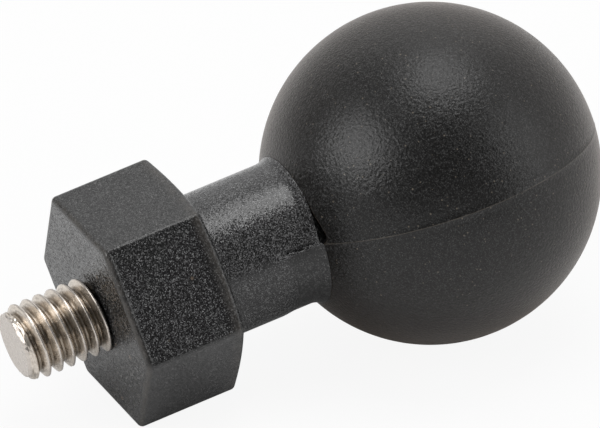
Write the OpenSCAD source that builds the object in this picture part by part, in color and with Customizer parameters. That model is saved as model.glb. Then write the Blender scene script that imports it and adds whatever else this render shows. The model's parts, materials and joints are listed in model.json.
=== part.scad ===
// Threaded ball stud: a rubber ball moulded over the round end of a plastic post, with a hexagon
// collar at the other end of the post and a steel stud moulded into the collar.
// Each piece is drawn about one axis, with the seat face of the hexagon at 0, the ball above it
// and the thread below it. The whole is then laid down as it comes to rest: on the ball and on
// the seat-face edge of one flat.

/* [Ball] */
// Diameter of the rubber ball
ball_d = 25.4; // [22:0.1:38]
// Distance from the seat face of the hexagon to the centre of the ball
ball_reach = 27.9; // [26:0.1:45]
// Diameter of the round end of the post inside the rubber
core_d = 17; // [14:0.1:20]

/* [Hexagon] */
// Width across the flats
hex_af = 15.875; // [14:0.005:18]
// Thickness from the seat face to the neck side
hex_t = 8.2; // [6:0.1:10]
// Radius along the edges of the seat face
seat_edge_r = 0.4; // [0.1:0.05:0.8]
// Amount taken off the tips of the six corners
corner_cut = 0.1; // [0.05:0.05:0.4]
// Angle of the turned chamfer on the neck side
chamfer_angle = 9; // [5:1:30]
// How far inside the flats the chamfer begins
chamfer_inset = 0.15; // [0.05:0.05:0.8]

/* [Neck] */
// Diameter of the neck
neck_d = 11.1; // [10:0.1:12.5]
// Height of the flare where the neck meets the ball
flare_h = 0.25; // [0.1:0.05:0.5]
// Radius of the curve of the flare
flare_r = 0.6; // [0.5:0.05:1.5]
// Width of the straight land between the flare and the ball
flare_land = 0.15; // [0.05:0.05:0.5]

/* [Stud] */
// Major diameter of the thread
thread_d = 6; // [5:0.1:8]
// Length of thread that stands out of the seat face
thread_len = 6.7; // [5:0.1:20]
// Height of the chamfer at the tip of the thread, and the amount it takes off the radius
tip_chamfer = 0.4; // [0.2:0.05:0.8]
// Diameter of the plain shank behind the thread
shank_d = 4.8; // [4:0.1:4.9]
// Length of the plain shank, from the seat face to the head
shank_len = 1.6; // [1.2:0.1:2]
// Width across the flats of the head that locks the stud in the plastic
head_af = 8; // [6:0.1:8.5]
// Thickness of the head
head_t = 3.6; // [2:0.1:4]

/* [Stud recess] */
// Radial gap between the thread and the shallow recess around it in the seat face
recess_gap = 0.1; // [0.05:0.05:0.8]
// Depth of that recess
recess_depth = 0.4; // [0.2:0.05:1]

/* [Hidden] */
$fn = 96;

// Straight steps that stand for each rounded edge of a profile
round_steps = 6;
// How far a cutting shape runs past the face that it cuts
past = 1;

ball_r = ball_d / 2;
flat_r = hex_af / 2;
corner_r = flat_r / cos(30) - corner_cut;
chamfer_r = flat_r - chamfer_inset;
chamfer_t = (corner_r - chamfer_r) * tan(chamfer_angle);
neck_r = neck_d / 2;
thread_r = thread_d / 2;
tip_r = thread_r - tip_chamfer;

// The neck passes into the ball where the ball is as wide as the end of the flare
root_r = neck_r + flare_h;
root_z = ball_reach - sqrt(ball_r * ball_r - root_r * root_r);
flare_angle = acos(1 - flare_h / flare_r);
flare_z = root_z - flare_land - flare_r * sin(flare_angle);

// Lean at which a point on the underside, reach along the axis from the ball's centre and drop
// below the axis, comes down to the floor with a rounding of the given radius about it
function lean_onto(reach, drop, rounding = 0) =
    asin((ball_r - rounding) / norm([reach, drop])) - atan2(drop, reach);

// The stud rests on whichever of the hexagon's edge and the thread's tip comes down first
lean = min(
    lean_onto(ball_reach - seat_edge_r, flat_r - seat_edge_r, seat_edge_r),
    lean_onto(ball_reach + thread_len, tip_r),
    lean_onto(ball_reach + thread_len - tip_chamfer, thread_r)
);

// The origin is under the middle of the length, so the ball stands off it by half the difference
tip_x = (ball_reach + thread_len) * cos(lean) + tip_r * sin(lean);
ball_x = (tip_x - ball_r) / 2;

// Turns the upright axis to lie along X, thread end down, with the ball standing on the floor
module lay_down() {
    translate([ball_x, 0, ball_r])
        rotate([0, 90 - lean, 0])
            translate([0, 0, -ball_reach])
                children();
}

// A bar between two opposite flats, with both its edges rounded at the seat face
module flat_pair() {
    edge = [
        for (i = [0 : round_steps])
            let (a = 90 * i / round_steps)
                [flat_r - seat_edge_r * (1 - sin(a)), seat_edge_r * (1 - cos(a))]
    ];
    far_edge = [for (i = [round_steps : -1 : 0]) [-edge[i].x, edge[i].y]];
    rotate([90, 0, 0])
        linear_extrude(2 * (flat_r + corner_r), center = true)
            polygon(concat(edge, [[flat_r, hex_t], [-flat_r, hex_t]], far_edge));
}

// The round blank of the hexagon: the tips of the corners and the chamfer on the neck side
module turned_blank() {
    rotate_extrude()
        polygon([
            [0, 0],
            [corner_r, 0],
            [corner_r, hex_t - chamfer_t],
            [chamfer_r, hex_t],
            [0, hex_t]
        ]);
}

module hexagon() {
    intersection() {
        turned_blank();
        flat_pair();
        rotate(60) flat_pair();
        rotate(120) flat_pair();
    }
}

// The neck, its flare and the round end that the ball is moulded over
module neck_and_core() {
    flare = [
        for (i = [0 : round_steps])
            let (a = flare_angle * i / round_steps)
                [neck_r + flare_r * (1 - cos(a)), flare_z + flare_r * sin(a)]
    ];
    rotate_extrude()
        polygon(concat(
            [[0, hex_t / 2], [neck_r, hex_t / 2]],
            flare,
            [[root_r, ball_reach], [0, ball_reach]]
        ));
    translate([0, 0, ball_reach])
        sphere(d = core_d);
}

// What is moulded in: a plain shank and a hexagon head that can neither pull out nor turn
module stud_anchor() {
    cylinder(d = shank_d, h = shank_len);
    translate([0, 0, shank_len])
        rotate(30)
            cylinder(d = head_af / cos(30), h = head_t, $fn = 6);
}

// Stainless stud: the thread at its major diameter with a chamfered tip, and its anchor
module threaded_stud() {
    color([0.72, 0.68, 0.62])
        lay_down() {
            rotate_extrude()
                polygon([
                    [0, -thread_len],
                    [tip_r, -thread_len],
                    [thread_r, tip_chamfer - thread_len],
                    [thread_r, 0],
                    [0, 0]
                ]);
            stud_anchor();
        }
}

// Glass-filled nylon post: hexagon, neck and core in one moulding around the stud
module hex_post() {
    color([0.24, 0.24, 0.24])
        lay_down()
            difference() {
                union() {
                    hexagon();
                    neck_and_core();
                }
                stud_anchor();
                translate([0, 0, -past])
                    cylinder(r = thread_r + recess_gap, h = past + recess_depth);
            }
}

// Rubber ball, moulded over the end of the post
module rubber_ball() {
    color([0.13, 0.13, 0.13])
        lay_down()
            difference() {
                translate([0, 0, ball_reach])
                    sphere(d = ball_d);
                neck_and_core();
            }
}

threaded_stud();
hex_post();
rubber_ball();
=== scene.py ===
import json
import math

import bmesh
import bpy
from mathutils import Matrix, Vector


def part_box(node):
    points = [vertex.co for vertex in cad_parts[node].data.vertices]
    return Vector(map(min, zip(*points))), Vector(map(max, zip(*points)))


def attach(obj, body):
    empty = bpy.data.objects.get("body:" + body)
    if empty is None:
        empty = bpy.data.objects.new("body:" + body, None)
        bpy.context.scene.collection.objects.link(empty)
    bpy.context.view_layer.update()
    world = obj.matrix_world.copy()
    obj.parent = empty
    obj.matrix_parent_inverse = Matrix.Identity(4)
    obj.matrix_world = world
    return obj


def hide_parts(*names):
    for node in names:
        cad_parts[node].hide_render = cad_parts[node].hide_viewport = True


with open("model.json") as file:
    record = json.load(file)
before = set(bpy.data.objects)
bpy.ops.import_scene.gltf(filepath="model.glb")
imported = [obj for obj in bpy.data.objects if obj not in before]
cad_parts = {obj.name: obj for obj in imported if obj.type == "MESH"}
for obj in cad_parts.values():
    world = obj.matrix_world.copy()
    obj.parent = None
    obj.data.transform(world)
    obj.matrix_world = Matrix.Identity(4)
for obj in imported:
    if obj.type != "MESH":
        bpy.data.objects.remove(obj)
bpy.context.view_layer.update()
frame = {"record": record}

# How the part lies
# It rests on its ball and on the seat edge of one flat, so its axis leans, as the record's mounts say. Each
# piece is drawn upright, z from the seat face to the ball and x out of the top flat, and then laid down.
mm = 0.001
mounts = {mount["name"]: mount for mount in frame["record"]["mounts"]}
ball_centre = Vector(mounts["clamp_ball"]["pos_m"])
axis_along = Vector(mounts["clamp_ball"]["axis"])
axis_side = Vector((0, -1, 0))
axis_up = axis_side.cross(axis_along)
ball_reach = axis_along.dot(ball_centre - Vector(mounts["hex_seat"]["pos_m"]))
seat_centre = ball_centre - ball_reach * axis_along
lay_turn = Matrix((axis_up, axis_side, axis_along)).transposed().to_4x4()
lay_down = Matrix.Translation(seat_centre) @ lay_turn

# Threaded stud
# A stainless M6 stud: a rolled thread, grime and painted shade in its grooves, a chamfered, knocked tip.
# Behind it, a plain shank and a hexagon head are moulded into the collar, so that only the thread shows.
thread_mount = mounts["stud_thread"]["dims"]
thread_pitch = 1.0 * mm
thread_depth = 0.6 * mm
thread_softness = 0.06 * mm
thread_buried = 0.01 * mm
tip_chamfer = 0.4 * mm
thread_length = thread_mount["length_mm"] * mm + tip_chamfer
crest_inset = 0.05 * mm
crest_radius = thread_mount["r_mm"] * mm - crest_inset
root_radius = crest_radius - thread_depth
thread_turns = math.ceil((thread_length + thread_buried) / thread_pitch) + 1
steps_per_turn = 160
steps_per_pitch = 32
tip_fall = 0.35 * mm
tip_slope = 0.5
tip_rim_round = 0.28 * mm
tip_dents = 0.16 * mm
dented_length = 1.0 * mm
dents_elsewhere = 0.2
knock_depth = 0.16 * mm
knock_unevenness = 0.06 * mm
knock_angle = math.radians(35)
knock_lean = math.radians(44)
knock_way = Vector((math.cos(knock_angle) * math.cos(knock_lean),
                    math.sin(knock_angle) * math.cos(knock_lean), -math.sin(knock_lean)))
rim_centre = Vector((crest_radius - tip_fall - tip_rim_round, 0, tip_rim_round - thread_length))
knock_reach = rim_centre.x * math.cos(knock_lean) + rim_centre.z * knock_way.z
knock_reach += tip_rim_round - knock_depth
shank_inset = 0.05 * mm
shank_radius = root_radius - shank_inset
shank_length = 1.6 * mm
shank_sides = 48
head_across_flats = 8 * mm
head_thickness = 3.6 * mm
weld_distance = 0.0005 * mm
sliver_length = 0.0002 * mm
steel_warm_grey = (0.68, 0.625, 0.573, 1)
flank_light = (0.81, 0.738, 0.656, 1)
# The grooves turn brown towards their roots: grime and painted shade.
groove_grime_and_shade = (0.38, 0.325, 0.265, 1)
streak_brown = (0.17, 0.138, 0.107, 1)
tints_by_depth = ((0.02, steel_warm_grey), (0.12, flank_light), (0.6, flank_light), (0.95, groove_grime_and_shade))
streak_strength = 0.9
mottle_strength = 0.14
facing_mark_share = 0.3
satin_roughness = (0.19, 0.36)


def fill_inputs(tree, sockets, values):
    """Joins each socket to the output that is given for it, or sets it to the value that is given."""
    for socket, value in zip(sockets, values):
        if isinstance(value, bpy.types.NodeSocket):
            tree.links.new(value, socket)
        else:
            socket.default_value = value


def add_math(tree, operation, *values):
    """Adds one Math node and returns its result."""
    node = tree.nodes.new("ShaderNodeMath")
    node.operation = operation
    fill_inputs(tree, node.inputs, values)
    return node.outputs[0]


def add_clamp(tree, value):
    """Holds a value between 0 and 1."""
    return add_math(tree, "MINIMUM", add_math(tree, "MAXIMUM", value, 0), 1)


def add_vector_math(tree, operation, *values):
    """Adds one Vector Math node and returns its result, which is a number for a dot product."""
    node = tree.nodes.new("ShaderNodeVectorMath")
    node.operation = operation
    fill_inputs(tree, node.inputs, values)
    return node.outputs["Value" if operation == "DOT_PRODUCT" else "Vector"]


def add_node(tree, kind, settings=(), **inputs):
    """Adds one node, sets its own settings, and joins or sets its inputs by name."""
    node = tree.nodes.new(kind)
    for name, value in dict(settings).items():
        setattr(node, name, value)
    fill_inputs(tree, [node.inputs[name.replace("_", " ")] for name in inputs], inputs.values())
    return node


def add_noise(tree, place, scale, detail):
    """Adds one Noise Texture and returns its value."""
    return add_node(tree, "ShaderNodeTexNoise", Vector=place, Scale=scale, Detail=detail).outputs["Fac"]


def add_range(tree, value, low, high, to_low=0.0, to_high=1.0):
    """Adds one Map Range node that takes low to to_low and high to to_high."""
    node = add_node(tree, "ShaderNodeMapRange", Value=value, From_Min=low, From_Max=high,
                    To_Min=to_low, To_Max=to_high)
    return node.outputs[0]


def add_mix(tree, share, first, second):
    """Adds one Mix node between two colours and returns its colour."""
    node = add_node(tree, "ShaderNodeMix", {"data_type": "RGBA"}, Factor=share)
    fill_inputs(tree, (node.inputs[6], node.inputs[7]), (first, second))
    return node.outputs[2]


def read_mark(tree, name, output="Fac"):
    """Reads a mark that the mesh keeps for each of its points."""
    return add_node(tree, "ShaderNodeAttribute", {"attribute_name": name}).outputs[output]


def new_material(name, **constants):
    """A material with a Principled shader, whose plain numbers and colours are set on the shader itself."""
    material = bpy.data.materials.new(name)
    material.use_nodes = True
    shader = material.node_tree.nodes["Principled BSDF"]
    for socket, value in constants.items():
        shader.inputs[socket.replace("_", " ")].default_value = value
    return material, material.node_tree, shader


def lay_piece(name, shape, material):
    """Closes the seams of a shape drawn about the axis, lays it down and makes it a piece of the part."""
    bmesh.ops.remove_doubles(shape, verts=shape.verts, dist=weld_distance)
    bmesh.ops.dissolve_degenerate(shape, edges=shape.edges, dist=sliver_length)
    bmesh.ops.recalc_face_normals(shape, faces=shape.faces)
    bmesh.ops.transform(shape, matrix=lay_down, verts=shape.verts)
    for face in shape.faces:
        face.smooth = True
    mesh = bpy.data.meshes.new(name)
    shape.to_mesh(mesh)
    shape.free()
    mesh.materials.append(material)
    piece = bpy.data.objects.new(name, mesh)
    bpy.context.scene.collection.objects.link(piece)
    return piece


def build_thread_tree():
    """A tube whose radius follows a thread's flanks along a helix, with a chamfered and a plain end."""
    tree = bpy.data.node_groups.new("rolled_thread", "GeometryNodeTree")
    inputs = {
        "NodeSocketFloat": ("Pitch", "Crest Radius", "Root Radius", "Length", "Buried", "Chamfer",
                            "Tip Slope", "Dents", "Rim Round", "Knock Reach", "Softness", "Turns"),
        "NodeSocketVector": ("Knock Way",),
        "NodeSocketInt": ("Rows", "Columns"),
        "NodeSocketMaterial": ("Finish",),
    }
    for kind, names in inputs.items():
        for name in names:
            tree.interface.new_socket(name, in_out="INPUT", socket_type=kind)
    tree.interface.new_socket("Thread", in_out="OUTPUT", socket_type="NodeSocketGeometry")
    size = tree.nodes.new("NodeGroupInput").outputs
    rim_round = size["Rim Round"]

    # A grid in pitches by turns: one spare pitch at each end of it draws the end faces
    spread = add_math(tree, "ADD", size["Turns"], 2)
    grid = add_node(tree, "GeometryNodeMeshGrid", Size_X=spread, Size_Y=1.0,
                    Vertices_X=size["Rows"], Vertices_Y=size["Columns"])
    position = tree.nodes.new("GeometryNodeInputPosition").outputs[0]
    place = add_node(tree, "ShaderNodeSeparateXYZ", Vector=position).outputs
    row = add_math(tree, "ADD", place["X"], add_math(tree, "MULTIPLY", size["Turns"], 0.5))
    turn = add_math(tree, "ADD", place["Y"], 0.5)

    # How far out from the middle of an end face a row is: 0 in the middle, 1 on the rim and after
    tip_share = add_clamp(tree, add_math(tree, "ADD", row, 1))
    to_end = add_math(tree, "SUBTRACT", add_math(tree, "ADD", size["Turns"], 1), row)
    share = add_math(tree, "MULTIPLY", tip_share, add_clamp(tree, to_end))
    left = add_math(tree, "SUBTRACT", 1, share)
    share = add_math(tree, "SUBTRACT", 1, add_math(tree, "MULTIPLY", left, left))

    # The height of a row climbs by one pitch a turn and stops at the two ends
    climb = add_math(tree, "ADD", row, add_math(tree, "SUBTRACT", turn, 1))
    start = add_math(tree, "SUBTRACT", rim_round, size["Length"])
    height = add_math(tree, "MULTIPLY_ADD", climb, size["Pitch"], start)
    height = add_math(tree, "MINIMUM", add_math(tree, "MAXIMUM", height, start), size["Buried"])
    from_tip = add_math(tree, "SUBTRACT", height, start)

    # Straight flanks at 60 degrees, cut an eighth below their sharp crest, then the chamfer at the tip
    flank_slope = math.tan(math.radians(60))
    sharp_height = flank_slope / 2
    phase = add_math(tree, "SUBTRACT", add_math(tree, "DIVIDE", height, size["Pitch"]), turn)
    wave = add_math(tree, "PINGPONG", phase, 0.5)
    flank = add_math(tree, "MULTIPLY", add_math(tree, "MULTIPLY", wave, size["Pitch"]), flank_slope)
    crest_trim = add_math(tree, "MULTIPLY", size["Pitch"], sharp_height * 7 / 8)
    flank = add_math(tree, "ADD", flank, add_math(tree, "SUBTRACT", size["Crest Radius"], crest_trim))
    radius = add_math(tree, "SMOOTH_MAX", flank, size["Root Radius"], size["Softness"])
    radius = add_math(tree, "SMOOTH_MIN", radius, size["Crest Radius"], size["Softness"])
    cone = add_math(tree, "SUBTRACT", size["Crest Radius"], size["Chamfer"])
    cone = add_math(tree, "MULTIPLY_ADD", from_tip, size["Tip Slope"], cone)
    radius = add_math(tree, "SMOOTH_MIN", radius, cone, size["Softness"])

    # The tip's face is flat and turns over a quarter round at its rim into the chamfer
    to_rim = add_math(tree, "MULTIPLY", add_math(tree, "SUBTRACT", 1, share), radius)
    within = add_math(tree, "SUBTRACT", 1, add_math(tree, "DIVIDE", to_rim, rim_round))
    within = add_math(tree, "MAXIMUM", within, 0)
    within = add_math(tree, "SUBTRACT", 1, add_math(tree, "MULTIPLY", within, within))
    face_rise = add_math(tree, "MULTIPLY", add_math(tree, "SQRT", within), rim_round)
    on_tip = add_math(tree, "LESS_THAN", tip_share, 1)
    height = add_math(tree, "SUBTRACT", height, add_math(tree, "MULTIPLY", face_rise, on_tip))
    radius = add_math(tree, "MULTIPLY", radius, share)
    angle = add_math(tree, "MULTIPLY", turn, math.tau)
    cosine = add_math(tree, "COSINE", angle)
    sine = add_math(tree, "SINE", angle)

    # Small dents all along the thread, deepest on the first turns at the tip, and none on the end faces
    around = add_node(tree, "ShaderNodeCombineXYZ", X=add_math(tree, "MULTIPLY", radius, cosine),
                      Y=add_math(tree, "MULTIPLY", radius, sine), Z=height).outputs[0]
    dent_level = 0.6
    knocks = add_noise(tree, around, scale=1900.0, detail=2.0)
    near_tip = add_math(tree, "SUBTRACT", 1, add_math(tree, "DIVIDE", from_tip, dented_length))
    near_tip = add_math(tree, "MAXIMUM", near_tip, dents_elsewhere)
    dent = add_math(tree, "MULTIPLY", add_math(tree, "SUBTRACT", knocks, dent_level), 2)
    dent = add_math(tree, "MULTIPLY", dent, add_math(tree, "MULTIPLY", near_tip, size["Dents"]))
    dent = add_math(tree, "MULTIPLY", dent, add_math(tree, "POWER", share, 8))
    radius = add_math(tree, "ADD", radius, dent)
    across = add_math(tree, "MULTIPLY", radius, cosine)
    aside = add_math(tree, "MULTIPLY", radius, sine)
    point = add_node(tree, "ShaderNodeCombineXYZ", X=across, Y=aside, Z=height).outputs[0]

    # One hard knock pressed an uneven flat into the rim of the tip
    reach = add_math(tree, "MULTIPLY_ADD", knocks, knock_unevenness, size["Knock Reach"])
    out_to = add_vector_math(tree, "DOT_PRODUCT", point, size["Knock Way"])
    beyond = add_math(tree, "SUBTRACT", out_to, reach)
    pressed = add_vector_math(tree, "MULTIPLY", size["Knock Way"], add_math(tree, "MAXIMUM", beyond, 0))
    point = add_vector_math(tree, "SUBTRACT", point, pressed)

    # The way of the rolling, for marks that run round the thread and stay narrow across its flanks
    climb_stretch = 0.7
    flank_stretch = 9 * mm
    rise = add_math(tree, "MULTIPLY", height, climb_stretch)
    round_x = add_math(tree, "MULTIPLY", cosine, size["Crest Radius"])
    round_y = add_math(tree, "MULTIPLY_ADD", sine, size["Crest Radius"], rise)
    flank_way = add_math(tree, "MULTIPLY", wave, flank_stretch)
    rolled_way = add_node(tree, "ShaderNodeCombineXYZ", X=round_x, Y=round_y, Z=flank_way)

    # How deep in the groove a point of the thread is: 0 on the crest and the end faces, 1 at the root
    depth = add_math(tree, "SUBTRACT", size["Crest Radius"], radius)
    whole_depth = add_math(tree, "SUBTRACT", size["Crest Radius"], size["Root Radius"])
    depth = add_math(tree, "DIVIDE", depth, whole_depth)
    groove = add_math(tree, "MULTIPLY", depth, add_math(tree, "GREATER_THAN", share, 0.999))

    marked = add_node(tree, "GeometryNodeStoreNamedAttribute", Geometry=grid.outputs["Mesh"], Name="groove",
                      Value=groove)
    marked = add_node(tree, "GeometryNodeStoreNamedAttribute", {"data_type": "FLOAT_VECTOR"},
                      Geometry=marked.outputs[0], Name="rolled_way", Value=rolled_way.outputs[0])
    wrapped = add_node(tree, "GeometryNodeSetPosition", Geometry=marked.outputs[0], Position=point)
    closed = add_node(tree, "GeometryNodeMergeByDistance", Geometry=wrapped.outputs[0],
                      Distance=weld_distance)
    smooth = add_node(tree, "GeometryNodeSetShadeSmooth", Geometry=closed.outputs[0])
    real = add_node(tree, "GeometryNodeRealizeInstances", Geometry=smooth.outputs[0])
    finish = add_node(tree, "GeometryNodeSetMaterial", Geometry=real.outputs[0], Material=size["Finish"])
    leave = tree.nodes.new("NodeGroupOutput")
    tree.links.new(finish.outputs[0], leave.inputs["Thread"])
    return tree


def make_stainless():
    """Warm satin stainless: grime and painted shade in grooves, rolling and facing marks, uneven polish."""
    material, tree, shader = new_material("warm_stainless", Metallic=1.0)
    groove = read_mark(tree, "groove")
    metal = add_node(tree, "ShaderNodeValToRGB", Fac=groove)
    stops = metal.color_ramp.elements
    for _ in tints_by_depth[2:]:
        stops.new(0.5)
    for stop, (depth, tint) in zip(stops, tints_by_depth):
        stop.position = depth
        stop.color = tint
    rolling = add_noise(tree, read_mark(tree, "rolled_way", "Vector"), scale=1000.0, detail=3.0)
    streaks = add_math(tree, "MULTIPLY", add_range(tree, rolling, low=0.48, high=0.62),
                       add_math(tree, "MULTIPLY", groove, streak_strength))
    coords = tree.nodes.new("ShaderNodeTexCoord").outputs["Object"]
    facing = add_noise(tree, coords, scale=4200.0, detail=2.0)
    mottle = add_range(tree, facing, low=0.4, high=0.65, to_high=mottle_strength)
    stain = add_math(tree, "MAXIMUM", streaks, mottle)
    tree.links.new(add_mix(tree, stain, metal.outputs["Color"], streak_brown), shader.inputs["Base Color"])
    polish = add_noise(tree, coords, scale=900.0, detail=3.0)
    tree.links.new(add_range(tree, polish, 0.0, 1.0, *satin_roughness), shader.inputs["Roughness"])
    faint_facing = add_math(tree, "MULTIPLY", facing, facing_mark_share)
    marks = add_math(tree, "MULTIPLY_ADD", rolling, groove, faint_facing)
    bump = add_node(tree, "ShaderNodeBump", Height=marks, Strength=0.5, Distance=0.03 * mm)
    tree.links.new(bump.outputs[0], shader.inputs["Normal"])
    return material


stainless = make_stainless()
thread_tree = build_thread_tree()
thread_sizes = {
    "Pitch": thread_pitch,
    "Crest Radius": crest_radius,
    "Root Radius": root_radius,
    "Length": thread_length,
    "Buried": thread_buried,
    "Chamfer": tip_fall,
    "Tip Slope": tip_slope,
    "Dents": tip_dents,
    "Rim Round": tip_rim_round,
    "Knock Reach": knock_reach,
    "Knock Way": knock_way,
    "Softness": thread_softness,
    "Turns": float(thread_turns),
    "Rows": (thread_turns + 2) * steps_per_pitch + 1,
    "Columns": steps_per_turn + 1,
    "Finish": stainless,
}
blank = bpy.data.objects.new("thread_blank", bpy.data.meshes.new("thread_blank"))
bpy.context.scene.collection.objects.link(blank)
rolling = blank.modifiers.new("rolling", "NODES")
rolling.node_group = thread_tree
for socket in thread_tree.interface.items_tree:
    if socket.in_out == "INPUT":
        rolling[socket.identifier] = thread_sizes[socket.name]
rolled = bpy.data.meshes.new_from_object(blank.evaluated_get(bpy.context.evaluated_depsgraph_get()))
bpy.data.objects.remove(blank)

stud_shape = bmesh.new()
stud_shape.from_mesh(rolled)
head_radius = head_across_flats / 2 / math.cos(math.radians(30))
anchors = ((shank_sides, shank_radius, 0, shank_length),
           (6, head_radius, shank_length, head_thickness))
for sides, radius, low, tall in anchors:
    upright = Matrix.Translation((0, 0, low + tall / 2)) @ Matrix.Rotation(math.radians(30), 4, "Z")
    bmesh.ops.create_cone(stud_shape, cap_ends=True, segments=sides, radius1=radius, radius2=radius,
                          depth=tall, matrix=upright)
threaded_stud = lay_piece("stud_thread", stud_shape, stainless)
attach(threaded_stud, "root")
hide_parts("threaded_stud")

# Hexagon post
# One charcoal glass-filled nylon moulding: the collar with its eased edges, the round neck and the core
# inside the ball. The tool was spark-eroded on one flat and most of the neck, which left a coarse grain.
sixth = math.radians(60)
flat_radius = 15.875 / 2 * mm
flat_half_width = flat_radius * math.tan(sixth / 2)
hex_thickness = 8.2 * mm
corner_round = 0.6 * mm
least_round = 0.03 * mm
head_corner_round = 0.05 * mm
edge_round = 0.4 * mm
# The eased edges are painted a paler brown: rubbed wear and a painted highlight, most in mid-round.
edge_wear_and_highlight = 0.6
chamfer_start = flat_radius - 0.15 * mm
chamfer_slope = math.tan(math.radians(9))
neck_radius = 5.55 * mm
neck_fillet = 0.2 * mm
flare_radius = 2.0 * mm
lip_radius = neck_radius + 0.25 * mm
lip_round = 0.04 * mm
lip_gap = 0.15 * mm
lip_cut = 0.3 * mm
core_radius = 8.5 * mm
core_neck_radius = lip_radius - lip_gap
ball_low, ball_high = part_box("rubber_ball")
ball_radius = (ball_high.z - ball_low.z) / 2
lip_height = ball_reach - math.sqrt(ball_radius ** 2 - lip_radius ** 2)
round_steps = 8
small_round_steps = 4
flare_steps = 6
neck_steps = 24
core_steps = 24

# The coarse field of the grained flat, which ends short of the flat's edges, and the grain of the neck
grained_flat = math.radians(60)
grain_depth = 0.05 * mm
grain_fade = 0.12 * mm
corner_margin = 0.1 * mm
seat_margin = 0.4 * mm
neck_margin = 0.9 * mm
neck_margin_fade = 0.3
neck_grain_at_hexagon = 1.2
neck_grain_loss = 0.35
faint_loss = 0.6
faint_spread = math.radians(130)

# The parting line on the neck, the smooth patch under it, and the ragged groove and the gap above it
seam_angle = math.radians(72.5)
seam_step = 0.09 * mm
patch_length = 3.3 * mm
patch_spread = math.radians(110)
patch_fade = 0.8 * mm
groove_depth = 0.42 * mm
groove_middle = -3.6
groove_wander = 0.6
groove_half_width = 1.9
groove_raggedness = 0.7
groove_edge = 0.5
groove_start = 0.3
gap_spread = math.radians(34)
gap_start = math.radians(3)
gap_fullness = 1.2

nylon_dark = (0.006, 0.006, 0.0062, 1)
nylon_light = (0.122, 0.121, 0.12, 1)
# The bright facets of the coarse grain get this colour: painted glints.
nylon_painted_glint = (0.2, 0.2, 0.203, 1)
# Paler brown for the eased edges: rubbed wear and a painted highlight.
edge_brown_and_highlight = (0.09, 0.08, 0.07, 1)
fleck_tan = (0.13, 0.1, 0.075, 1)


def skin_rings(rings):
    """Joins closed rings of points, one after the other along the axis, into one skin with closed ends."""
    shape = bmesh.new()
    loops = [[shape.verts.new(point) for point in ring] for ring in rings]
    for lower, upper in zip(loops, loops[1:]):
        count = max(len(lower), len(upper))
        for i in range(count):
            j = (i + 1) % count
            corners = [lower[i % len(lower)], lower[j % len(lower)]]
            corners += [upper[j % len(upper)], upper[i % len(upper)]]
            shape.faces.new(list(dict.fromkeys(corners)))
    return shape


def mark_vertices(shape, name, shares):
    """Keeps one share for each vertex, in the order that the rings were made in."""
    layer = shape.verts.layers.float.new(name)
    shape.verts.ensure_lookup_table()
    all_shares = [share for ring in shares for share in ring]
    for vertex, share in zip(shape.verts, all_shares):
        vertex[layer] = share


def clamp(share):
    return min(max(share, 0.0), 1.0)


def polar(angle, radius, height):
    return Vector((radius * math.cos(angle), radius * math.sin(angle), height))


def hexagon_radius(angle, apothem, rounding):
    """Distance from the axis to a hexagon with rounded corners, in one direction."""
    off_flat = abs((angle + sixth / 2) % sixth - sixth / 2)
    if off_flat <= math.atan2((apothem - rounding) * math.tan(sixth / 2), apothem):
        return apothem / math.cos(off_flat)
    off_corner = sixth / 2 - off_flat
    centre = (apothem - rounding) / math.cos(sixth / 2)
    reach = max(rounding ** 2 - (centre * math.sin(off_corner)) ** 2, 0)
    return centre * math.cos(off_corner) + math.sqrt(reach)


def chamfer_fall(angle):
    """How far the turned chamfer lowers the outline of the hexagon on its neck side, most at the corners."""
    return max(hexagon_radius(angle, flat_radius, corner_round) - chamfer_start, 0) * chamfer_slope


def flat_grain_share(angle, height):
    """1 on the grained field of the grained flat, 0 on its smooth border and on the other flats."""
    turn = (angle - grained_flat + math.pi) % math.tau - math.pi
    if abs(turn) > sixth / 2:
        return 0.0
    from_corner = flat_half_width - abs(flat_radius * math.tan(turn))
    from_neck_side = (hex_thickness - height - neck_margin) * neck_margin_fade
    return clamp(min(from_corner - corner_margin, height - seat_margin, from_neck_side) / grain_fade)


def below_seam(angle):
    return (angle - seam_angle) % math.tau


def smooth_patch_share(angle, height):
    """1 on the patch of the neck, under the parting line and beside the ball, that the tool left smooth."""
    below = below_seam(angle)
    across = min(below / math.radians(0.5), (patch_spread - below) / math.radians(30))
    near_ball = (height - (lip_height - patch_length)) / patch_fade
    return clamp(min(across, near_ball))


def neck_grain_share(angle, height):
    """The neck's grain: stronger towards the hexagon, fainter under the parting line, none on the patch."""
    along = (height - hex_thickness) / (lip_height - hex_thickness)
    below = below_seam(angle)
    under = clamp(min(below / math.radians(25), (faint_spread - below) / math.radians(20)))
    grain = (neck_grain_at_hexagon - neck_grain_loss * along) * (1.0 - faint_loss * under)
    return grain * (1.0 - smooth_patch_share(angle, height))


def groove_share(angle, height):
    """1 in the deepest parts of the short, ragged groove above the parting line, beside the smooth patch.

    Its place and width are in degrees round the neck, and they waver with the millimetres along it.
    """
    off_seam = math.degrees((angle - seam_angle + math.pi) % math.tau - math.pi)
    from_start = (height - (lip_height - patch_length)) / mm
    middle = groove_middle - groove_wander * math.sin(2.6 * from_start)
    half_width = groove_half_width + groove_raggedness * math.sin(4.3 * from_start + 1)
    across = (half_width - abs(off_seam - middle)) / groove_edge
    uneven = 0.78 + 0.22 * math.cos(math.tau * from_start / 1.7)
    return clamp(min(across, from_start / groove_start)) * uneven


def gap_share(angle):
    """Width of the dark gap that the rubber left beside the lip: widest just above the parting line."""
    above_seam = (seam_angle - angle) % math.tau
    return clamp(min(above_seam / gap_start, gap_fullness * (1 - above_seam / gap_spread)))


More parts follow.
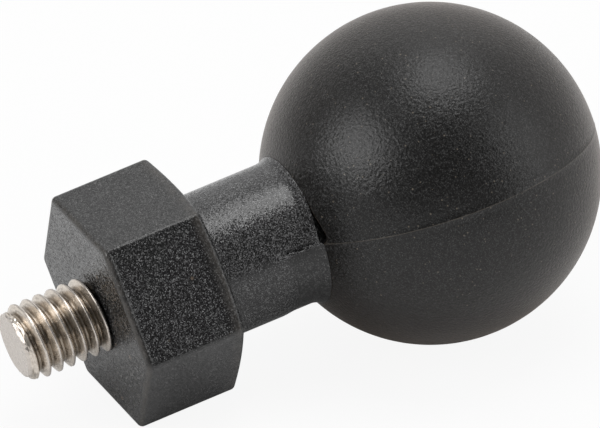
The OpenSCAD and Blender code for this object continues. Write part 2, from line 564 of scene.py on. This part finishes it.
# The directions of the points in each ring: close together at the corners and at the parting line
flat_edge = math.atan2((flat_radius - corner_round) * math.tan(sixth / 2), flat_radius)
border_shares = (0.92, 0.95, 0.985)
flat_shares = [i / 8 for i in range(-7, 8)]
flat_shares += [side * share for share in border_shares for side in (-1, 1)]
post_angles = [seam_angle + math.radians(i / 2) for i in range(-15, 3)]
for flat in range(6):
    post_angles += [flat * sixth + flat_edge * share for share in flat_shares]
    post_angles += [flat * sixth + flat_edge + (sixth - 2 * flat_edge) * i / 8 for i in range(9)]
post_angles.sort()

post_rings = []
post_marks = {"flat_grain": [], "neck_grain": [], "seat_grain": [], "worn_edge": []}


def add_post_ring(points, **marks):
    """Keeps one ring of the post, and how much of each mark its points have: one share, or one each."""
    post_rings.append(points)
    for name, rings in post_marks.items():
        shares = marks.get(name, 0.0)
        rings.append(shares if isinstance(shares, list) else [shares] * len(points))


def add_round_ring(radius, height, cut=0.0):
    """A plain round ring, cut back where the gap beside the lip is."""
    add_post_ring([polar(angle, radius, height - cut * gap_share(angle)) for angle in post_angles])


def add_neck_ring(radius, height, depth=1.0, cut=0.0):
    """A ring with the neck's grain, sunk a little where the smooth patch and the groove beside it are."""
    points = []
    for angle in post_angles:
        sunk = seam_step * depth * smooth_patch_share(angle, height)
        sunk += groove_depth * min(2 * depth, 1.0) * groove_share(angle, height)
        points.append(polar(angle, radius - sunk, height - cut * gap_share(angle)))
    add_post_ring(points, neck_grain=[neck_grain_share(angle, height) for angle in post_angles])


def add_hexagon_ring(inset, height, fall=0.0, worn=0.0):
    """A ring round the hexagon, lowered by a share of what the turned chamfer takes off there."""
    points = []
    grains = []
    for angle in post_angles:
        lowered = height - fall * chamfer_fall(angle)
        share = flat_grain_share(angle, lowered) if inset == 0 else 0.0
        radius = hexagon_radius(angle, flat_radius - inset, max(corner_round - inset, least_round))
        points.append(polar(angle, radius - grain_depth * share, lowered))
        grains.append(share)
    add_post_ring(points, flat_grain=grains, worn_edge=worn)


# The hollow that holds the stud's head and shank, open at the seat face inside the thread's root
head_top = shank_length + head_thickness
add_post_ring([Vector((0, 0, head_top))])
for height in (head_top, shank_length):
    add_post_ring([polar(angle, hexagon_radius(angle, head_across_flats / 2, head_corner_round), height)
                   for angle in post_angles])
add_round_ring(shank_radius, shank_length)
add_round_ring(shank_radius, 0)

# The seat face, then its rounded edge, the flats and the rounded edge on the neck side
for share in (0.1, 0.3, 0.6, 0.9, 0.98, 1.0):
    points = []
    for angle in post_angles:
        edge = hexagon_radius(angle, flat_radius - edge_round, least_round)
        points.append(polar(angle, shank_radius + (edge - shank_radius) * share, 0))
    add_post_ring(points, seat_grain=1.0 if share < 1.0 else 0.0)
# The eased edges take the paler brown of rubbed wear and a painted highlight, most in mid-round.
for i in range(1, round_steps + 1):
    turned = math.radians(90) * i / round_steps
    add_hexagon_ring(edge_round * (1 - math.sin(turned)), edge_round * (1 - math.cos(turned)),
                     worn=edge_wear_and_highlight * math.sin(2 * turned))
for share in (0.01, 0.02, 0.04, 0.06, 0.075, 0.2, 0.35, 0.5, 0.65, 0.8, 0.85, 0.88, 0.91, 0.94, 0.97, 0.99):
    add_hexagon_ring(0, edge_round + (hex_thickness - 2 * edge_round) * share, fall=share,
                     worn=max(share - 0.9, 0.0) * 5)
for i in range(round_steps + 1):
    turned = math.radians(90) * i / round_steps
    add_hexagon_ring(edge_round * (1 - math.cos(turned)),
                     hex_thickness - edge_round * (1 - math.sin(turned)), fall=1.0,
                     worn=edge_wear_and_highlight * max(1 - 0.5 * i, 0.0))
for share in (0.98, 0.9, 0.6, 0.3, 0.1):
    points = []
    fillet_start = neck_radius + neck_fillet
    for angle in post_angles:
        edge = hexagon_radius(angle, flat_radius - edge_round, least_round)
        radius = fillet_start + (edge - fillet_start) * share
        fall = max(radius - chamfer_start, 0) * chamfer_slope
        rim_fall = chamfer_fall(angle) * max(share - 0.5, 0) * 2
        points.append(polar(angle, radius, hex_thickness - max(fall, rim_fall)))
    add_post_ring(points)

# The neck, its flare with a rounded lip, the groove under the ball's edge and the core
for i in range(small_round_steps + 1):
    turned = math.radians(90) * i / small_round_steps
    add_round_ring(neck_radius + neck_fillet * (1 - math.sin(turned)),
                   hex_thickness + neck_fillet * (1 - math.cos(turned)))
flare_turn = math.acos(1 - (lip_radius - neck_radius) / flare_radius)
flare_height = lip_height - lip_round - flare_radius * math.sin(flare_turn)
neck_start = hex_thickness + neck_fillet
for i in range(1, neck_steps + 1):
    share = i / neck_steps
    add_neck_ring(neck_radius, neck_start + (flare_height - neck_start) * share, cut=lip_cut * share ** 8)
for i in range(1, flare_steps + 1):
    turned = flare_turn * i / flare_steps
    add_neck_ring(neck_radius + flare_radius * (1 - math.cos(turned)),
                  flare_height + flare_radius * math.sin(turned), 1 - i / flare_steps, lip_cut)
for i in range(1, small_round_steps + 1):
    turned = math.radians(90) * i / small_round_steps
    add_round_ring(lip_radius - lip_round * (1 - math.cos(turned)),
                   lip_height - lip_round + lip_round * math.sin(turned), lip_cut)
add_round_ring(core_neck_radius, lip_height, lip_cut)
core_start = math.asin(core_neck_radius / core_radius)
core_turns = [(math.pi - core_start) * (1 - i / core_steps) for i in range(core_steps)]
for turned in core_turns:
    add_round_ring(core_radius * math.sin(turned), ball_reach + core_radius * math.cos(turned))
add_post_ring([Vector((0, 0, ball_reach + core_radius))])


def build_grain_group():
    """Grain that a tool leaves on a moulded face: small facets, each with its own tilt and tone."""
    group = bpy.data.node_groups.new("moulded_grain", "ShaderNodeTree")
    for name in ("Facet Scale", "Tilt", "Contrast"):
        group.interface.new_socket(name, in_out="INPUT", socket_type="NodeSocketFloat")
    group.interface.new_socket("Normal", in_out="OUTPUT", socket_type="NodeSocketVector")
    group.interface.new_socket("Tone", in_out="OUTPUT", socket_type="NodeSocketFloat")
    size = group.nodes.new("NodeGroupInput").outputs
    coords = group.nodes.new("ShaderNodeTexCoord").outputs["Object"]
    cells = add_node(group, "ShaderNodeTexVoronoi", Vector=coords, Scale=size["Facet Scale"])
    facets = cells.outputs["Color"]
    centred = add_vector_math(group, "SUBTRACT", facets, (0.5, 0.5, 0.5))
    spread = add_math(group, "MULTIPLY", size["Tilt"], 2)
    tilt = add_vector_math(group, "MULTIPLY", centred, spread)
    normal = group.nodes.new("ShaderNodeNewGeometry").outputs["Normal"]
    leaning = add_vector_math(group, "NORMALIZE", add_vector_math(group, "ADD", normal, tilt))
    pick = add_node(group, "ShaderNodeSeparateColor", Color=facets).outputs["Blue"]
    tone = add_math(group, "POWER", pick, size["Contrast"])
    leave = group.nodes.new("NodeGroupOutput")
    group.links.new(leaning, leave.inputs["Normal"])
    group.links.new(tone, leave.inputs["Tone"])
    return group


def build_fleck_group():
    """Scattered specks: one in some of the cells of a pattern, with a share of cells and a size."""
    group = bpy.data.node_groups.new("scattered_flecks", "ShaderNodeTree")
    for name in ("Cell Scale", "Share", "Fleck Size"):
        group.interface.new_socket(name, in_out="INPUT", socket_type="NodeSocketFloat")
    group.interface.new_socket("Mask", in_out="OUTPUT", socket_type="NodeSocketFloat")
    size = group.nodes.new("NodeGroupInput").outputs
    edge_sharpness = 3
    coords = group.nodes.new("ShaderNodeTexCoord").outputs["Object"]
    cells = add_node(group, "ShaderNodeTexVoronoi", Vector=coords, Scale=size["Cell Scale"])
    pick = add_node(group, "ShaderNodeSeparateColor", Color=cells.outputs["Color"])
    chosen = add_math(group, "LESS_THAN", pick.outputs["Red"], size["Share"])
    spread = add_math(group, "MULTIPLY", size["Fleck Size"], pick.outputs["Green"])
    close = add_math(group, "SUBTRACT", 1, add_math(group, "DIVIDE", cells.outputs["Distance"], spread))
    close = add_clamp(group, add_math(group, "MULTIPLY", close, edge_sharpness))
    mask = add_math(group, "MULTIPLY", close, chosen)
    leave = group.nodes.new("NodeGroupOutput")
    group.links.new(mask, leave.inputs["Mask"])
    return group


def place_group(tree, group, **inputs):
    """Places a group in a material and joins or sets its inputs by name."""
    return add_node(tree, "ShaderNodeGroup", {"node_tree": group}, **inputs).outputs


def add_shares(tree, base, *changes):
    """Adds to a base value each change, which is a share of the surface and the amount it adds there."""
    for share, amount in changes:
        base = add_math(tree, "MULTIPLY_ADD", share, amount, base)
    return base


moulded_grain = build_grain_group()
scattered_flecks = build_fleck_group()


def make_nylon():
    """Charcoal nylon: fine grain, painted glints on eroded grain, rubbed edges with a painted highlight."""
    material, tree, shader = new_material("charcoal_nylon", IOR=1.54)
    flat = read_mark(tree, "flat_grain")
    neck = read_mark(tree, "neck_grain")
    seat = read_mark(tree, "seat_grain")
    worn = read_mark(tree, "worn_edge")
    coarse = add_math(tree, "MAXIMUM", flat, neck)

    # The fine grain of the plain faces, and what each marked face changes in it
    facets = add_shares(tree, 14000, (seat, -5500))
    neck_tilt = add_shares(tree, -0.35, (neck, 0.3))
    tilt = add_shares(tree, 0.16, (seat, 0.06), (flat, 0.03), (neck, neck_tilt))
    contrast = add_shares(tree, 5, (flat, 2), (neck, -2))
    roughness = add_shares(tree, 0.28, (coarse, -0.08), (neck, -0.04), (seat, -0.05))
    grain = place_group(tree, moulded_grain, Facet_Scale=facets, Tilt=tilt, Contrast=contrast)
    tree.links.new(grain["Normal"], shader.inputs["Normal"])
    tree.links.new(roughness, shader.inputs["Roughness"])

    # The colour: dark and light facets, painted glints, rubbed edges with a painted highlight, tan flecks
    bright = add_mix(tree, coarse, nylon_light, nylon_painted_glint)
    shade = add_mix(tree, grain["Tone"], nylon_dark, bright)
    coords = tree.nodes.new("ShaderNodeTexCoord").outputs["Object"]
    # Eased edges painted paler brown in patches: rubbed wear and a painted highlight.
    patches = add_range(tree, add_noise(tree, coords, scale=1500.0, detail=2.0), low=0.35, high=0.6)
    worn = add_math(tree, "MULTIPLY", worn, add_shares(tree, 0.3, (patches, 0.6)))
    rubbed = add_mix(tree, worn, shade, edge_brown_and_highlight)
    flecks = place_group(tree, scattered_flecks, Cell_Scale=1100.0, Share=0.05, Fleck_Size=0.3)
    tree.links.new(add_mix(tree, flecks["Mask"], rubbed, fleck_tan), shader.inputs["Base Color"])
    return material


post_shape = skin_rings(post_rings)
for name, rings in post_marks.items():
    mark_vertices(post_shape, name, rings)
hex_post = lay_piece("moulded_post", post_shape, make_nylon())
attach(hex_post, "root")
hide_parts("hex_post")

# Rubber ball
# Matt black rubber moulded over the core, with the thin parting line of the mould round it. Just above that
# line the rubber stops short of the neck and leaves a dark gap. A little dust clings to the surface.
mouth_radius = lip_radius - 0.03 * mm
mouth_round = 0.01 * mm
mouth_wall = 0.4 * mm
mouth_inner = 0.45 * mm
mouth_turn = math.pi - math.asin((mouth_radius + mouth_round) / ball_radius)
mouth_height = ball_reach + ball_radius * math.cos(mouth_turn)
gap_edge = mouth_radius + 0.8 * mm
gap_turn = math.pi - math.asin(gap_edge / ball_radius)
gap_depth = 1.8 * mm
gap_width = 0.75
gap_ceiling = mouth_height + 0.5 * mm
line_width = 0.05 * mm
line_height = 0.02 * mm
line_profile = ((-1.0, 0.0), (-0.5, 0.6), (0.0, 1.0), (0.5, 0.6), (1.0, 0.0))
line_paleness = 0.9
line_fade_rings = 6
columns_each_side = 64
ball_steps = 120
gap_steps = 10
rubber_dark = (0.002, 0.002, 0.002, 1)
rubber_light = (0.055, 0.055, 0.055, 1)
sheen_tan = (1.0, 0.72, 0.53, 1)
dust_tan = (0.12, 0.103, 0.083, 1)

ball_rings = []
ball_line = []


def add_ball_pole(height):
    ball_rings.append([Vector((0, 0, height))])
    ball_line.append([0.0])


def add_ball_ring(radius, height, raised=0.0):
    """One ring round the ball's axis, with the two parting lines standing out of it by a share."""
    ring = []
    line = []
    column = math.pi / columns_each_side
    out = Vector((radius, 0, height - ball_reach)).normalized()
    narrow = min(line_width / radius, column * 0.8)
    for half in range(2):
        start = seam_angle + math.pi * half
        for across, rise in line_profile:
            lift = line_height * rise * raised
            ring.append(polar(start + across * narrow, radius + lift * out.x, height + lift * out.z))
            line.append(rise * raised)
        for i in range(1, columns_each_side):
            ring.append(polar(start + column * i, radius, height))
            line.append(0.0)
    near_mouth = min((gap_edge - radius) / (gap_edge - mouth_radius), 1.0)
    if near_mouth > 0 and height < gap_ceiling:
        for point in ring:
            share = gap_share(math.atan2(point.y, point.x))
            point.z += gap_depth * max(near_mouth - 1 + gap_width * share, 0.0) ** 3
    ball_rings.append(ring)
    ball_line.append(line)


# The outside from the far pole to the mouth round the neck, then the hollow that the core fills
add_ball_pole(ball_reach + ball_radius)
turns = [gap_turn * i / ball_steps for i in range(1, ball_steps + 1)]
turns += [gap_turn + (mouth_turn - gap_turn) * i / gap_steps for i in range(1, gap_steps + 1)]
for i, turned in enumerate(turns, 1):
    add_ball_ring(ball_radius * math.sin(turned), ball_reach + ball_radius * math.cos(turned),
                  min(1.0, i / line_fade_rings))
for i in range(1, small_round_steps + 1):
    turned = math.radians(90) * i / small_round_steps
    add_ball_ring(mouth_radius + mouth_round * (1 - math.sin(turned)),
                  mouth_height + mouth_round * (1 - math.cos(turned)))
add_ball_ring(mouth_radius, mouth_height + mouth_wall)
add_ball_ring(core_neck_radius, mouth_height + mouth_inner)
for turned in core_turns:
    add_ball_ring(core_radius * math.sin(turned), ball_reach + core_radius * math.cos(turned))
add_ball_pole(ball_reach + core_radius)


def make_rubber():
    """Matt black rubber with a fine grain on a rippled skin, tan dust and a paler parting line."""
    material, tree, shader = new_material("black_rubber", Roughness=0.31, Specular_IOR_Level=0.42,
                                          Sheen_Weight=0.14, Sheen_Roughness=0.4, Sheen_Tint=sheen_tan)
    skin = place_group(tree, moulded_grain, Facet_Scale=15000.0, Tilt=0.07, Contrast=4.0)
    coords = tree.nodes.new("ShaderNodeTexCoord").outputs["Object"]
    ripple = add_noise(tree, coords, scale=4500.0, detail=2.0)
    peel = add_node(tree, "ShaderNodeBump", Height=ripple, Strength=0.9, Distance=0.05 * mm,
                    Normal=skin["Normal"])
    tree.links.new(peel.outputs[0], shader.inputs["Normal"])
    dust = place_group(tree, scattered_flecks, Cell_Scale=3300.0, Share=0.3, Fleck_Size=0.28)
    worn = add_noise(tree, coords, scale=1800.0, detail=1.0)
    line = add_math(tree, "MULTIPLY", read_mark(tree, "parting_line"),
                    add_math(tree, "MULTIPLY", worn, line_paleness))
    pale = add_math(tree, "MAXIMUM", dust["Mask"], line)
    shade = add_mix(tree, skin["Tone"], rubber_dark, rubber_light)
    tree.links.new(add_mix(tree, pale, shade, dust_tan), shader.inputs["Base Color"])
    return material


ball_shape = skin_rings(ball_rings)
mark_vertices(ball_shape, "parting_line", ball_line)
rubber_ball = lay_piece("moulded_ball", ball_shape, make_rubber())
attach(rubber_ball, "root")
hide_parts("rubber_ball")

# Floor
# A plain white studio floor, wide enough to fill every view. The camera sees it nearly at full white, and
# it keeps a faint shadow of the part.
floor_half = 3.0
floor_white = (0.86, 0.86, 0.86, 1)
white_to_camera = 0.91
white_in_gloss = 0.02
floor_corners = [(-floor_half, -floor_half, 0), (floor_half, -floor_half, 0),
                 (floor_half, floor_half, 0), (-floor_half, floor_half, 0)]
floor_mesh = bpy.data.meshes.new("studio_floor")
floor_mesh.from_pydata(floor_corners, [], [(0, 1, 2, 3)])
floor_paint, floor_tree, floor_shader = new_material("floor_white", Base_Color=floor_white,
                                                     Roughness=0.9, Specular_IOR_Level=0.0)
ray = floor_tree.nodes.new("ShaderNodeLightPath").outputs
seen = add_math(floor_tree, "MAXIMUM", ray["Is Glossy Ray"], ray["Is Transmission Ray"])
seen = add_math(floor_tree, "MULTIPLY", seen, white_in_gloss)
seen = add_math(floor_tree, "MULTIPLY_ADD", ray["Is Camera Ray"], white_to_camera, seen)
glow = add_node(floor_tree, "ShaderNodeEmission", Color=(1, 1, 1, 1), Strength=1.0)
both = add_node(floor_tree, "ShaderNodeMixShader", Fac=seen)
floor_tree.links.new(floor_shader.outputs[0], both.inputs[1])
floor_tree.links.new(glow.outputs[0], both.inputs[2])
floor_tree.links.new(both.outputs[0], floor_tree.nodes["Material Output"].inputs["Surface"])
floor_mesh.materials.append(floor_paint)
studio_floor = bpy.data.objects.new("studio_floor", floor_mesh)
bpy.context.scene.collection.objects.link(studio_floor)

# Light
# Four softboxes, overhead, at the thread end, behind and at the front right, in a room that is dim
# towards the thread and paler towards the ball.
pale_side = (0.75, 0.63, 0.2)
dim_level = 0.14
pale_level = 0.68
world = bpy.data.worlds.new("studio_room")
bpy.context.scene.world = world
world.use_nodes = True
room = world.node_tree
sky_way = room.nodes.new("ShaderNodeTexCoord").outputs["Generated"]
level = add_node(room, "ShaderNodeMapRange", {"interpolation_type": "SMOOTHSTEP"},
                 Value=add_vector_math(room, "DOT_PRODUCT", sky_way, pale_side),
                 From_Min=-0.3, From_Max=0.6, To_Min=dim_level, To_Max=pale_level)
room.links.new(level.outputs[0], room.nodes["Background"].inputs["Strength"])
room.nodes["Background"].inputs["Color"].default_value = (1, 1, 1, 1)


def add_softbox(name, place, size, radiance):
    """A rectangular area light aimed at the part, as bright to look at as the radiance says."""
    data = bpy.data.lights.new(name, "AREA")
    data.shape = "RECTANGLE"
    data.size, data.size_y = size
    data.energy = radiance * math.pi * size[0] * size[1]
    box = bpy.data.objects.new(name, data)
    box.location = place
    box.rotation_euler = (Vector((0, 0, 0)) - Vector(place)).to_track_quat("-Z", "Y").to_euler()
    bpy.context.scene.collection.objects.link(box)


add_softbox("overhead", place=(0.09, 0.05, 0.8), size=(0.46, 0.5), radiance=2.9)
add_softbox("thread_side", place=(-0.86, 0.0, 0.53), size=(0.74, 0.6), radiance=3.6)
add_softbox("behind", place=(0.35, 0.8, 0.75), size=(1.2, 0.7), radiance=0.3)
add_softbox("front_right", place=(0.72, -0.62, 0.45), size=(0.62, 0.85), radiance=1.1)

# Camera
# The photograph's view: a long lens, a little above the part and round towards its thread end.
view_azimuth = math.radians(-26.094)
view_elevation = math.radians(29.767)
view_distance = 1.0043
view_aim = Vector((0.000175, -0.000033, 0.011948))
camera_data = bpy.data.cameras.new("camera")
camera_data.lens = 818.05
camera_data.sensor_width = 36
camera_data.clip_end = 10
camera = bpy.data.objects.new("camera", camera_data)
view_back = Vector((math.sin(view_azimuth) * math.cos(view_elevation),
                    -math.cos(view_azimuth) * math.cos(view_elevation),
                    math.sin(view_elevation)))
camera.location = view_aim + view_distance * view_back
camera.rotation_euler = view_back.to_track_quat("Z", "Y").to_euler()
bpy.context.scene.collection.objects.link(camera)
bpy.context.scene.camera = camera
bpy.context.scene.view_settings.view_transform = "Standard"
